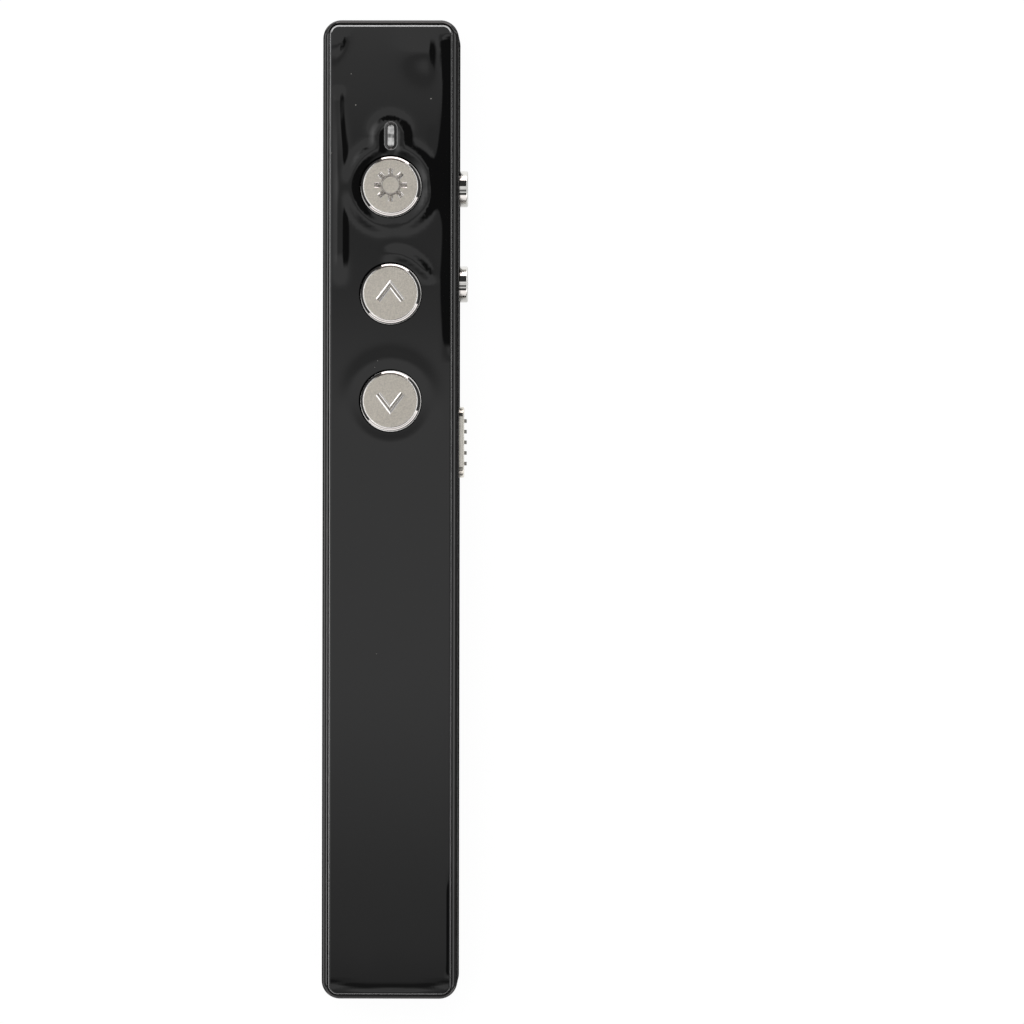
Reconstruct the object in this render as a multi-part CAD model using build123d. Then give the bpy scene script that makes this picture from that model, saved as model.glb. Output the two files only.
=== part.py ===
from build123d import *
from math import radians, tan
import os

# A slim wireless presentation clicker: a bar-shaped remote with three round keys and a status light on its
# front, two round keys and a power slider on its right side, a laser in its tip, and a charging socket and
# a stowed USB receiver in its tail.
#
# Lengths are in millimetres. X runs across the width towards the side keys, Y along the length towards the
# laser, and Z up from the back face. The origin is the middle of the back face.

# ---- housing ---------------------------------------------------------------------------------------------
body_length = 137.0
body_width = 19.0
corner_radius = 2.55
back_edge_radius = 0.9
rim_edge_radius = 0.42
rim_inner_radius = 0.08
floor_thickness = 1.0
wall_thickness = 1.4
cover_thickness = 1.3
cover_inset_side = 0.92
cover_inset_end = 0.62
cover_corner_radius = 1.3
cover_edge_radius = 0.28
cover_gap = 0.08

# ---- front keys ------------------------------------------------------------------------------------------
first_key_from_tip = 23.3
key_pitch = 15.0
key_radius = 4.15
key_rise = 0.9
key_bevel_width = 0.37
key_bevel_slope = 40.0
key_face_edge_radius = 0.22
key_bevel_foot_radius = 0.1
key_travel = 0.4
key_running_gap = 0.15
key_hole_bevel = 0.14
key_flange_width = 0.55
key_flange_thickness = 0.6
key_wall = 0.85
key_post_radius = 0.95
key_web = 0.6
key_collar_wall = 0.5
key_collar_depth = 1.0
key_tab_width = 1.0
icon_depth = 0.12
chevron_stroke = 0.75
chevron_arm_length = 2.85
chevron_angle = 53.0
chevron_apex_offset = 1.3
sun_offset = 0.15
sun_ring_radius = 1.3
sun_ring_width = 0.36
sun_ring_depth = 0.06
sun_ray_count = 8
sun_ray_width = 0.72
sun_ray_start = 1.4
sun_ray_end = 2.3

# ---- side keys -------------------------------------------------------------------------------------------
first_side_key_from_tip = 23.25
side_key_pitch = 13.45
side_key_radius = 2.55
side_key_rise = 1.2
side_key_edge_radius = 0.22
side_key_travel = 0.35
side_key_flange_width = 0.5
side_key_flange_thickness = 0.5
side_key_post_radius = 0.55
side_key_gap = 0.12

# ---- power slider ----------------------------------------------------------------------------------------
slider_from_tip = 59.0
slider_length = 10.0
slider_width = 3.0
slider_rise = 0.72
slider_edge_radius = 0.2
slider_travel = 2.0
slider_gap = 0.1
slider_flange_margin = 0.7
slider_flange_thickness = 0.5
slider_rail_thickness = 0.7
slider_rib_count = 5
slider_rib_pitch = 1.5
slider_rib_thickness = 0.5
slider_rib_rise = 0.35
slider_rib_width = 2.3
slider_rib_end_share = 0.9
fork_prong_thickness = 0.7
fork_prong_width = 1.8
fork_reach = 0.9

# ---- circuit board ---------------------------------------------------------------------------------------
board_thickness = 1.0
board_headroom = 2.98
board_side_gap = 0.1
board_corner_radius = 1.0
board_gap = 0.3
board_end_gap = 0.5
screw_hole_clearance = 0.15

# ---- push switches: a base with a snap dome in its well, a steel frame and a stem ------------------------
switch_floor = 0.35
switch_frame_thickness = 0.1
switch_collar_thickness = 0.2
switch_gap = 0.05
dome_thickness = 0.06
dome_height = 0.1
key_switch = {"across": 4.6, "along": 4.6, "well": 1.75, "stem": 1.05, "travel": key_travel}
side_switch = {"across": 2.6, "along": 4.6, "well": 1.05, "stem": 0.6, "travel": side_key_travel}
side_switch_inset = 0.2

# ---- power switch ----------------------------------------------------------------------------------------
power_switch_depth = 2.6
power_switch_height = 2.6
power_switch_wall = 0.45
lever_width = 1.2
lever_height = 1.0
lever_shoe_width = 2.4
lever_shoe_depth = 0.9
lever_gap = 0.1

# ---- status light ----------------------------------------------------------------------------------------
light_from_key = 1.325
light_slot_width = 1.1
light_slot_length = 3.25
light_slot_bevel = 0.34
light_slot_bevel_depth = 0.17
light_lens_gap = 0.075
light_lens_sink = 0.08
light_flange_margin = 0.6
light_flange_thickness = 0.5
light_guide_gap = 0.15
led_length = 1.6
led_width = 0.8
led_height = 0.55
led_base_height = 0.27
led_lens_length = 1.1

# ---- laser -----------------------------------------------------------------------------------------------
laser_radius = 3.0
laser_length = 11.0
laser_wall = 0.6
laser_front_wall = 0.8
laser_aperture_radius = 1.2
laser_floor_gap = 1.4
laser_lens_thickness = 1.6
laser_lens_bulge = 0.35
diode_cap_radius = 1.65
diode_cap_length = 2.4
diode_base_length = 1.2
driver_side_gap = 0.2
driver_length = 4.0
driver_thickness = 0.8
driver_insertion = 1.2
laser_pin_radius = 0.25
laser_pin_spread = 2.4
laser_pin_inset = 0.5
cradle_thickness = 1.0
cradle_margin = 0.9
cradle_inset = 2.6
cradle_spacing = 6.0
saddle_half_width = 2.2
saddle_wrap = 1.0
window_radius = 2.3
window_thickness = 0.7
window_sink = 0.1
aperture_radius = 1.7

# ---- battery ---------------------------------------------------------------------------------------------
cell_width = 12.0
cell_length = 34.0
cell_thickness = 4.6
cell_edge_radius = 1.0
cell_gap = 3.2
cell_pad_thickness = 0.4
cell_pad_inset = 1.0
cell_rib_thickness = 0.8
cell_rib_height = 2.6
protection_length = 2.6
protection_thickness = 0.9
lead_radius = 0.4
lead_spread = 3.0
lead_reach = 2.4
lead_bend_radius = 1.2

# ---- charging socket -------------------------------------------------------------------------------------
socket_width = 7.5
socket_height = 2.5
socket_depth = 5.6
socket_wall = 0.25
socket_lower_width = 5.9
socket_shoulder_share = 0.45
socket_recess = 0.15
socket_corner = 0.45
socket_clearance = 0.15
socket_flare = 0.2
socket_tongue_width = 3.8
socket_tongue_thickness = 0.65
socket_tongue_length = 3.6
socket_tongue_base = 1.0

# ---- receiver and its bay --------------------------------------------------------------------------------
receiver_body_length = 8.55
plug_width = 12.0
plug_height = 4.5
plug_wall = 0.3
plug_visible_length = 10.45
plug_tab_length = 1.6
plug_tab_root = 7.75
plug_tab_tip = 5.95
plug_window_width = 2.5
plug_window_length = 1.9
plug_window_offset = 3.05
plug_window_from_tip = 6.4
latch_window_width = 3.0
latch_window_length = 1.5
latch_window_from_tip = 10.0
tongue_thickness = 1.9
tongue_tip_gap = 0.8
contact_count = 4
contact_width = 1.1
contact_thickness = 0.15
contact_pitch = 2.3
contact_tip_gap = 1.2
receiver_board_thickness = 0.7
receiver_board_tail_gap = 0.55
receiver_board_side_gap = 1.0
grip_side_margin = 1.0
grip_width = 2.9
grip_depth = 0.3
grip_from_tab = 0.2
nub_radius = 0.34
nub_rise = 0.5
nub_height = 1.6
nub_from_tail = 2.45
tail_edge_radius = 0.25
receiver_recess = 0.15
bay_gap = 0.06
bay_end_gap = 0.2
bay_wall = 1.2
bay_roof = 0.8
nub_gap = 0.1
thumb_notch_side_margin = 0.7
thumb_notch_length = 8.0
thumb_notch_radius = 1.5

# ---- bosses, screws, hooks -------------------------------------------------------------------------------
boss_radius = 1.7
screw_radius = 0.75
screw_length = 4.2
screw_head_radius = 1.4
screw_head_height = 0.8
screw_slot_width = 0.35
screw_slot_depth = 0.4
boss_rib_thickness = 0.8
boss_rib_height = 2.2
hook_spots_from_tip = (10.5, 46.1, 73.5, 97.5, 121.5)
hook_width = 4.0
hook_thickness = 0.75
hook_length = 2.2
hook_barb = 0.32
hook_barb_height = 0.8
hook_gap = 0.12

# ---- chips -----------------------------------------------------------------------------------------------
radio_size = 5.0
radio_height = 0.9
chip_edge_radius = 0.1
radio_from_cell_tip = 10.0
charger_from_socket = 3.0
charger_length = 3.0
charger_width = 1.7
charger_height = 1.0
crystal_from_cell_tip = 16.0
crystal_length = 3.2
crystal_width = 2.5
crystal_height = 0.8
capacitor_length = 1.6
capacitor_width = 0.8
capacitor_height = 0.8
capacitor_count = 6
capacitor_pitch = 2.4
antenna_strip = 0.5
antenna_thickness = 0.1
antenna_pitch = 1.4
antenna_span = 3.8
antenna_turns = 5
antenna_edge_gap = 0.8

# ---- levels and stations worked out from the sizes above -------------------------------------------------
half_length = body_length / 2
half_width = body_width / 2
cavity_side = half_width - wall_thickness
cavity_end = half_length - wall_thickness

# heights, from the floor up: the bay and the cell, the board over them, the cover over the board
receiver_bottom = floor_thickness + bay_gap
bay_top = receiver_bottom + plug_height + bay_gap
bay_roof_top = bay_top + bay_roof
cell_bottom = floor_thickness + cell_pad_thickness
cell_top = cell_bottom + cell_thickness
board_bottom = max(bay_roof_top, cell_top) + board_gap
board_top = board_bottom + board_thickness
cover_bottom = board_top + board_headroom
body_height = cover_bottom + cover_thickness
side_axis_z = board_bottom - side_switch["across"] / 2
laser_axis_z = floor_thickness + laser_floor_gap + laser_radius
key_flange_top = cover_bottom - switch_gap
key_flange_bottom = key_flange_top - key_flange_thickness
key_top = body_height + key_rise
protection_bottom = floor_thickness + cell_rib_height

# stations along Y, from the tail
tail_y = -half_length
receiver_tail_y = tail_y + receiver_recess
plug_root_y = receiver_tail_y + receiver_body_length
receiver_tip_y = plug_root_y + plug_visible_length
bay_end_y = receiver_tip_y + bay_end_gap
tail_boss_y = bay_end_y + bay_wall + boss_radius
cell_tail_y = tail_boss_y + boss_radius + cell_rib_thickness
cell_tip_y = cell_tail_y + cell_length
middle_boss_y = cell_tip_y + protection_length + cell_gap + boss_radius
board_tail_y = -cavity_end + board_end_gap

# stations along Y, from the tip
laser_front_y = cavity_end
laser_back_y = laser_front_y - laser_length
driver_front_y = laser_back_y + driver_insertion
driver_back_y = driver_front_y - driver_length
board_tip_y = laser_back_y - board_end_gap
key_ys = [half_length - first_key_from_tip - i * key_pitch for i in range(3)]
side_key_ys = [half_length - first_side_key_from_tip - i * side_key_pitch for i in range(2)]
slider_y = half_length - slider_from_tip
slider_mid_y = slider_y - slider_travel / 2
light_y = key_ys[0] + key_radius + light_from_key + light_slot_length / 2
hook_ys = [half_length - spot for spot in hook_spots_from_tip]
cradle_ys = [laser_front_y - cradle_inset - i * cradle_spacing for i in range(2)]
boss_spots = [(0, (key_ys[0] + key_ys[1]) / 2), (0, middle_boss_y), (0, tail_boss_y)]


def switch_top(kind):
    """The height of a switch's base, which leaves its stem room to travel above the dome."""
    dome_top = switch_floor + dome_height + dome_thickness
    return dome_top + kind["travel"] + switch_collar_thickness + 2 * switch_gap


def stem_top(kind):
    """The height of a switch's stem at rest, clear of the frame by its travel and a little more."""
    return switch_top(kind) + switch_frame_thickness + kind["travel"] + switch_gap


# stations across X, from the right wall inwards
side_flange_inner_x = cavity_side - switch_gap - side_key_flange_thickness
side_switch_back_x = side_flange_inner_x - side_key_travel - side_switch_inset - stem_top(side_switch)
board_half_width = side_flange_inner_x - side_key_travel - board_side_gap
slider_flange_inner_x = cavity_side - slider_gap / 2 - slider_flange_thickness
slider_flange_half_length = slider_length / 2 + slider_travel + slider_flange_margin
fork_tip_x = slider_flange_inner_x - fork_reach
lever_tip_x = slider_flange_inner_x - lever_gap
power_switch_face_x = fork_tip_x - 2 * lever_gap


# ---- helpers ---------------------------------------------------------------------------------------------
def block(x, y, z):
    """A box between the two ends given for each axis."""
    size = [end - start for start, end in (x, y, z)]
    corner = [min(pair) for pair in (x, y, z)]
    return Pos(*corner) * Box(*[abs(s) for s in size], align=(Align.MIN, Align.MIN, Align.MIN))


def upright(radius, x, y, bottom, top):
    """A cylinder standing along Z."""
    return Pos(x, y, bottom) * Cylinder(radius, top - bottom, align=(Align.CENTER, Align.CENTER, Align.MIN))


def along_y(radius, x, z, back, front):
    """A cylinder lying along Y, from back to front."""
    return Pos(x, back, z) * Rot(-90, 0, 0) * Cylinder(
        radius, front - back, align=(Align.CENTER, Align.CENTER, Align.MIN)
    )


def along_x(radius, y, z, start, end):
    """A cylinder lying along X, from start to end."""
    return Pos(start, y, z) * Rot(0, 90, 0) * Cylinder(
        radius, end - start, align=(Align.CENTER, Align.CENTER, Align.MIN)
    )


def rounded_slab(width, length, radius, bottom, top):
    """A plate centred on the origin, with rounded plan corners."""
    return Pos(0, 0, bottom) * extrude(RectangleRounded(width, length, radius), top - bottom)


def pill(length, width, y, bottom, top):
    """A round-ended block whose long side lies along Y."""
    return Pos(0, y, bottom) * Rot(0, 0, 90) * extrude(SlotOverall(length, width), top - bottom)


def side_pill(length, width, y, z, start, end):
    """A round-ended block seen from +X, its long side along Y, from x = start to x = end."""
    outline = Plane((start, y, z), x_dir=(0, 1, 0), z_dir=(1, 0, 0)) * SlotOverall(length, width)
    return extrude(outline, end - start, dir=(1, 0, 0))


def top_edges(solid):
    return solid.faces().sort_by(Axis.Z)[-1].edges()


def bottom_edges(solid):
    return solid.faces().sort_by(Axis.Z)[0].edges()


# ---- rear case -------------------------------------------------------------------------------------------
def case_shell():
    """The tray: floor, walls, the ledge that the cover sits on and the rim round the cover."""
    outer = rounded_slab(body_width, body_length, corner_radius, 0, body_height)
    outer = fillet(bottom_edges(outer), back_edge_radius)
    outer = fillet(top_edges(outer), rim_edge_radius)
    inner_radius = corner_radius - wall_thickness
    cavity = rounded_slab(2 * cavity_side, 2 * cavity_end, inner_radius, floor_thickness, cover_bottom)
    seat_width = body_width - 2 * (cover_inset_side - cover_gap)
    seat_length = body_length - 2 * (cover_inset_end - cover_gap)
    seat = rounded_slab(seat_width, seat_length, cover_corner_radius + cover_gap, cover_bottom, body_height)
    shell = outer - cavity - seat
    rim = shell.faces().sort_by(Axis.Z)[-1]
    return fillet(rim.inner_wires()[0].edges(), rim_inner_radius)


def bay_walls():
    """The box that stands on the floor round the receiver."""
    side = plug_width / 2 + bay_gap + bay_wall
    return block((-side, side), (-cavity_end, bay_end_y + bay_wall), (floor_thickness, bay_roof_top))


def bay_space():
    """The receiver's own space, the wider run for its nubs and the thumb notch through the floor."""
    side = plug_width / 2 + bay_gap
    nub_side = side + nub_rise + nub_gap
    nub_stop_y = receiver_tail_y + nub_from_tail + nub_radius + nub_gap
    space = block((-side, side), (tail_y, bay_end_y), (floor_thickness, bay_top))
    space += block((-nub_side, nub_side), (tail_y, nub_stop_y), (floor_thickness, bay_top))
    notch_width = plug_width - 2 * thumb_notch_side_margin
    notch_outline = RectangleRounded(notch_width, 2 * thumb_notch_length, thumb_notch_radius)
    return space + Pos(0, tail_y, 0) * extrude(notch_outline, floor_thickness)


def battery_ribs():
    """Low ribs on the floor that keep the cell in place."""
    top = floor_thickness + cell_rib_height
    side = cell_width / 2
    ends = [(cell_tail_y - cell_rib_thickness, cell_tail_y), (cell_tip_y, cell_tip_y + cell_rib_thickness)]
    ribs = [block((-cavity_side, cavity_side), end, (floor_thickness, top)) for end in ends]
    for sign in (-1, 1):
        rail = sorted((sign * side, sign * (side + cell_rib_thickness)))
        ribs.append(block(rail, (cell_tail_y, cell_tip_y), (floor_thickness, top)))
    return ribs


def laser_cradles():
    """Two ribs with a half-round seat for the laser barrel."""
    side = laser_radius + cradle_margin
    ribs = []
    for y in cradle_ys:
        span = (y - cradle_thickness / 2, y + cradle_thickness / 2)
        rib = block((-side, side), span, (floor_thickness, laser_axis_z))
        ribs.append(rib - along_y(laser_radius, 0, laser_axis_z, *span))
    return ribs


def side_openings():
    """Holes in the right wall for the two side keys and the slider."""
    hole = side_key_radius + side_key_gap
    cuts = [along_x(hole, y, side_axis_z, cavity_side, half_width) for y in side_key_ys]
    window_length = slider_length + slider_travel + 2 * slider_gap
    window_width = slider_width + 2 * slider_gap
    cuts.append(side_pill(window_length, window_width, slider_mid_y, side_axis_z, cavity_side, half_width))
    return cuts


def slider_rails():
    """Ribs above and below the slider's flange that guide it."""
    flange_half = slider_width / 2 + slider_flange_margin + slider_gap
    reach = slider_flange_half_length + slider_travel / 2
    y = (slider_mid_y - reach, slider_mid_y + reach)
    x = (slider_flange_inner_x, cavity_side)
    low = (side_axis_z - flange_half - slider_rail_thickness, side_axis_z - flange_half)
    high = (side_axis_z + flange_half, side_axis_z + flange_half + slider_rail_thickness)
    return [block(x, y, low), block(x, y, high)]


def socket_opening():
    """The charging socket's hole in the tail wall, flared at its mouth."""
    width = socket_width + 2 * socket_clearance
    height = socket_height + 2 * socket_clearance
    centre_z = board_top + socket_height / 2
    plane = Plane((0, tail_y, centre_z), x_dir=(1, 0, 0), z_dir=(0, -1, 0))
    corner = socket_corner + socket_clearance
    hole = extrude(plane * RectangleRounded(width, height, corner), wall_thickness, dir=(0, 1, 0))
    flared = RectangleRounded(width + 2 * socket_flare, height + 2 * socket_flare, corner + socket_flare)
    inner_plane = plane.offset(-socket_flare)
    flare = loft([plane * flared, inner_plane * RectangleRounded(width, height, corner)])
    return hole + flare


def laser_opening():
    """The laser's aperture in the tip wall, with a counterbore for its window."""
    seat_back = half_length - window_thickness - window_sink
    aperture = along_y(aperture_radius, 0, laser_axis_z, cavity_end, half_length)
    return aperture + along_y(window_radius, 0, laser_axis_z, seat_back, half_length)


def hook_pockets():
    """Undercuts in the side walls that the cover's hooks snap into."""
    depth = hook_barb + hook_gap
    low = cover_bottom - hook_length - hook_gap
    high = cover_bottom - hook_length + hook_barb_height + hook_gap
    pockets = []
    for y in hook_ys:
        for sign in (-1, 1):
            x = sorted((sign * cavity_side, sign * (cavity_side + depth)))
            span = (y - hook_width / 2 - hook_gap, y + hook_width / 2 + hook_gap)
            pockets.append(block(x, span, (low, high)))
    return pockets


def boss_ribs():
    """Low ribs from wall to wall that stiffen the two bosses which stand clear of the bay."""
    top = floor_thickness + boss_rib_height
    half = boss_rib_thickness / 2
    ribs = []
    for _, y in boss_spots[:2]:
        ribs.append(block((-cavity_side, cavity_side), (y - half, y + half), (floor_thickness, top)))
    return ribs


def rear_case():
    case = case_shell() + bay_walls() + battery_ribs() + laser_cradles() + slider_rails() + boss_ribs()
    case += [upright(boss_radius, x, y, floor_thickness, board_bottom) for x, y in boss_spots]
    case -= [upright(screw_radius, x, y, board_bottom - screw_length, board_bottom) for x, y in boss_spots]
    return case - bay_space() - side_openings() - socket_opening() - laser_opening() - hook_pockets()


# ---- front cover -----------------------------------------------------------------------------------------
def key_guide(y):
    """A collar round a key's flange, with a tab that stops the key turning."""
    inner = key_radius + key_flange_width + key_running_gap
    bottom = cover_bottom - key_collar_depth
    collar = upright(inner + key_collar_wall, 0, y, bottom, cover_bottom)
    collar -= upright(inner, 0, y, bottom, cover_bottom)
    tab_start = key_radius + key_running_gap * 2
    tab_half = key_tab_width / 2 - key_running_gap
    return collar + block((-inner, -tab_start), (y - tab_half, y + tab_half), (bottom, cover_bottom))


def cover_hooks():
    """Snap hooks along both sides."""
    outer = cavity_side - hook_gap
    bottom = cover_bottom - hook_length
    hooks = []
    for y in hook_ys:
        span = (y - hook_width / 2, y + hook_width / 2)
        for sign in (-1, 1):
            arm = sorted((sign * (outer - hook_thickness), sign * outer))
            barb = sorted((sign * (outer - hook_thickness), sign * (outer + hook_gap + hook_barb)))
            tip = block(barb, span, (bottom, bottom + hook_barb_height))
            lowest_edges = tip.edges().filter_by(Axis.Y).group_by(Axis.Z)[0]
            lead_in = lowest_edges.sort_by(Axis.X, reverse=sign > 0)[0]
            hooks.append(block(arm, span, (bottom, cover_bottom)) + chamfer(lead_in, hook_barb))
    return hooks


def laser_saddles():
    """Ribs under the cover that hold the laser barrel down in its cradles."""
    low = laser_axis_z + laser_radius - saddle_wrap
    ribs = []
    for y in cradle_ys:
        span = (y - cradle_thickness / 2, y + cradle_thickness / 2)
        rib = block((-saddle_half_width, saddle_half_width), span, (low, cover_bottom))
        ribs.append(rib - along_y(laser_radius, 0, laser_axis_z, *span))
    return ribs


def bevelled_round_hole(y):
    """A key's hole, with a bevel at the front face."""
    radius = key_radius + key_running_gap
    hole = upright(radius, 0, y, cover_bottom, body_height)
    bevel = Pos(0, y, body_height - key_hole_bevel) * Cone(
        radius, radius + key_hole_bevel, key_hole_bevel, align=(Align.CENTER, Align.CENTER, Align.MIN)
    )
    return hole + bevel


def light_opening():
    """The status light's slot, with a wide bevel at the front face."""
    slot = pill(light_slot_length, light_slot_width, light_y, cover_bottom, body_height)
    wide_length = light_slot_length + 2 * light_slot_bevel
    wide_width = light_slot_width + 2 * light_slot_bevel
    turned = Rot(0, 0, 90)
    low = Pos(0, light_y, body_height - light_slot_bevel_depth) * turned
    high = Pos(0, light_y, body_height) * turned
    narrow = low * SlotOverall(light_slot_length, light_slot_width)
    return slot + loft([narrow, high * SlotOverall(wide_length, wide_width)])


def front_cover():
    width = body_width - 2 * cover_inset_side
    length = body_length - 2 * cover_inset_end
    plate = rounded_slab(width, length, cover_corner_radius, cover_bottom, body_height)
    plate = fillet(top_edges(plate), cover_edge_radius)
    cover = plate + [key_guide(y) for y in key_ys] + cover_hooks() + laser_saddles()
    return cover - [bevelled_round_hole(y) for y in key_ys] - light_opening()


# ---- keys ------------------------------------------------------------------------------------------------
def scoop_radius(width, depth):
    """The radius of a round-bottomed groove of this width and depth."""
    return (width**2 / 4 + depth**2) / (2 * depth)


def groove(width, start, end):
    """A round-bottomed groove below z = 0, along X from start to end."""
    radius = scoop_radius(width, icon_depth)
    return along_x(radius, 0, radius - icon_depth, start, end)


def chevron_icon(pointing_up):
    """Two grooves that meet in a point."""
    overrun = chevron_stroke / 2 * tan(radians(chevron_angle))
    arm = Rot(0, 0, -chevron_angle) * groove(chevron_stroke, -overrun, chevron_arm_length)
    reach = 2 * chevron_arm_length
    arm &= block((0, reach), (-reach, reach), (-reach, reach))
    chevron = Pos(0, chevron_apex_offset) * (arm + mirror(arm, Plane.YZ))
    return [chevron if pointing_up else Rot(0, 0, 180) * chevron]


def sun_icon():
    """A ring with short rays, the usual sign for a lamp or a laser."""
    middle = Pos(0, sun_offset)
    ring_scoop = scoop_radius(sun_ring_width, sun_ring_depth)
    cuts = [middle * Pos(0, 0, ring_scoop - sun_ring_depth) * Torus(sun_ring_radius, ring_scoop)]
    for i in range(sun_ray_count):
        turn = Rot(0, 0, 90 + i * 360 / sun_ray_count)
        cuts.append(middle * turn * groove(sun_ray_width, sun_ray_start, sun_ray_end))
    return cuts


def bevelled_cap(y, low):
    """A front key's outside: a cylinder with a bevel round its face, eased above and below."""
    bevel_bottom = key_top - key_bevel_width * tan(radians(key_bevel_slope))
    bevel = Pos(0, y, bevel_bottom) * Cone(
        key_radius,
        key_radius - key_bevel_width,
        key_top - bevel_bottom,
        align=(Align.CENTER, Align.CENTER, Align.MIN),
    )
    cap = upright(key_radius, 0, y, low, bevel_bottom) + bevel
    cap = fillet(cap.edges().filter_by(GeomType.CIRCLE).group_by(Axis.Z)[-2], key_bevel_foot_radius)
    return fillet(top_edges(cap), key_face_edge_radius)


def front_key(y, icon):
    """A plated key: a thin-walled cap with a flange below the cover and a post on the switch."""
    flange_radius = key_radius + key_flange_width
    low, high = key_flange_bottom, key_flange_top
    cap = bevelled_cap(y, low) + upright(flange_radius, 0, y, low, high)
    notch_x = (-flange_radius, -key_radius - key_running_gap)
    cap -= block(notch_x, (y - key_tab_width / 2, y + key_tab_width / 2), (low, high))
    hollow_top = body_height - key_wall
    hollow = upright(key_radius - key_wall, 0, y, low, hollow_top)
    hollow -= block((-key_radius, key_radius), (y - key_web / 2, y + key_web / 2), (low, hollow_top))
    hollow -= block((-key_web / 2, key_web / 2), (y - key_radius, y + key_radius), (low, hollow_top))
    cap -= hollow
    cap += upright(key_post_radius, 0, y, board_top + stem_top(key_switch), hollow_top)
    return cap - [Pos(0, y, key_top) * cut for cut in icon]


def side_key(y):
    """A round plated key that slides in the right wall."""
    inner_x = side_flange_inner_x
    cap = along_x(side_key_radius, y, side_axis_z, inner_x, half_width + side_key_rise)
    cap = fillet(cap.faces().sort_by(Axis.X)[-1].edges(), side_key_edge_radius)
    flange_radius = side_key_radius + side_key_flange_width
    cap += along_x(flange_radius, y, side_axis_z, inner_x, inner_x + side_key_flange_thickness)
    stem_x = side_switch_back_x + stem_top(side_switch)
    return cap + along_x(side_key_post_radius, y, side_axis_z, stem_x, inner_x)


# ---- push switches ---------------------------------------------------------------------------------------
def switch_base(kind):
    """A moulded base with a round well. It stands on z = 0."""
    x = kind["across"] / 2
    y = kind["along"] / 2
    top = switch_top(kind)
    return block((-x, x), (-y, y), (0, top)) - upright(kind["well"], 0, 0, switch_floor, top)


def switch_frame(kind):
    """The steel plate over the well, with a hole for the stem."""
    bottom = switch_top(kind)
    top = bottom + switch_frame_thickness
    x = kind["across"] / 2 - switch_frame_thickness
    y = kind["along"] / 2 - switch_frame_thickness
    return block((-x, x), (-y, y), (bottom, top)) - upright(kind["stem"] + switch_gap, 0, 0, bottom, top)


def switch_dome(kind):
    """A thin snap dome on the well's floor."""
    rim = kind["well"] - 2 * switch_gap
    peak = dome_height + dome_thickness
    outline = Polyline((0, dome_height), (0, peak), (rim, dome_thickness), (rim, 0), close=True)
    return Pos(0, 0, switch_floor) * revolve(Plane.XZ * make_face(outline), Axis.Z)


def switch_stem(kind):
    """The plunger: a stem through the frame, with a collar below it."""
    collar_top = switch_top(kind) - switch_gap
    collar_bottom = collar_top - switch_collar_thickness
    stem = upright(kind["stem"], 0, 0, collar_bottom, stem_top(kind))
    return stem + upright(kind["well"] - 2 * switch_gap, 0, 0, collar_bottom, collar_top)


def key_switch_place(y):
    return Pos(0, y, board_top)


def side_switch_place(y):
    """Turns a switch to face +X, under the board, in line with its key."""
    return Pos(side_switch_back_x, y, side_axis_z) * Rot(0, 90, 0)


# ---- power slider and its switch -------------------------------------------------------------------------
def power_slider():
    """A ribbed round-ended knob, its flange inside the wall and a fork round the switch's lever."""
    outer_x = half_width + slider_rise
    knob = side_pill(slider_length, slider_width, slider_y, side_axis_z, slider_flange_inner_x, outer_x)
    knob = fillet(knob.faces().sort_by(Axis.X)[-1].edges(), slider_edge_radius)
    flange_z = slider_width / 2 + slider_flange_margin
    knob += block(
        (slider_flange_inner_x, slider_flange_inner_x + slider_flange_thickness),
        (slider_y - slider_flange_half_length, slider_y + slider_flange_half_length),
        (side_axis_z - flange_z, side_axis_z + flange_z),
    )
    return knob + slider_ribs(outer_x) + fork_prongs()


def slider_ribs(outer_x):
    """The ribs that the thumb pushes on, rounded at both ends."""
    first = slider_y - slider_rib_pitch * (slider_rib_count - 1) / 2
    z = (side_axis_z - slider_rib_width / 2, side_axis_z + slider_rib_width / 2)
    ribs = []
    for i in range(slider_rib_count):
        y = first + i * slider_rib_pitch
        span = (y - slider_rib_thickness / 2, y + slider_rib_thickness / 2)
        rib = block((outer_x, outer_x + slider_rib_rise), span, z)
        outer_ends = rib.edges().filter_by(Axis.Y).sort_by(Axis.X)[-2:]
        ribs.append(fillet(outer_ends, slider_rib_end_share * slider_rib_rise))
    return ribs


def fork_prongs():
    """The two prongs that carry the power switch's lever."""
    z = (side_axis_z - fork_prong_width / 2, side_axis_z + fork_prong_width / 2)
    near = lever_width / 2
    far = near + fork_prong_thickness
    spans = [(slider_y - far, slider_y - near), (slider_y + near, slider_y + far)]
    return [block((fork_tip_x, slider_flange_inner_x), span, z) for span in spans]


def power_switch_case():
    """A slide switch's box under the board, with a well for the lever's shoe and a slot for its arm."""
    face_x = power_switch_face_x
    half = (slider_travel + lever_shoe_width) / 2 + lever_gap + power_switch_wall
    y = (slider_mid_y - half, slider_mid_y + half)
    box_x = (face_x - power_switch_depth, face_x)
    box = block(box_x, y, (board_bottom - power_switch_height, board_bottom))
    well_back_x = face_x - power_switch_wall - lever_shoe_depth - 2 * lever_gap
    well_half = half - power_switch_wall
    well_high = lever_height / 2 + 2 * lever_gap
    well = block(
        (well_back_x, face_x - power_switch_wall),
        (slider_mid_y - well_half, slider_mid_y + well_half),
        (side_axis_z - well_high, side_axis_z + well_high),
    )
    slot_half = (slider_travel + lever_width) / 2 + lever_gap
    slot_high = lever_height / 2 + lever_gap
    slot = block(
        (face_x - power_switch_wall, face_x),
        (slider_mid_y - slot_half, slider_mid_y + slot_half),
        (side_axis_z - slot_high, side_axis_z + slot_high),
    )
    return box - well - slot


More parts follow.
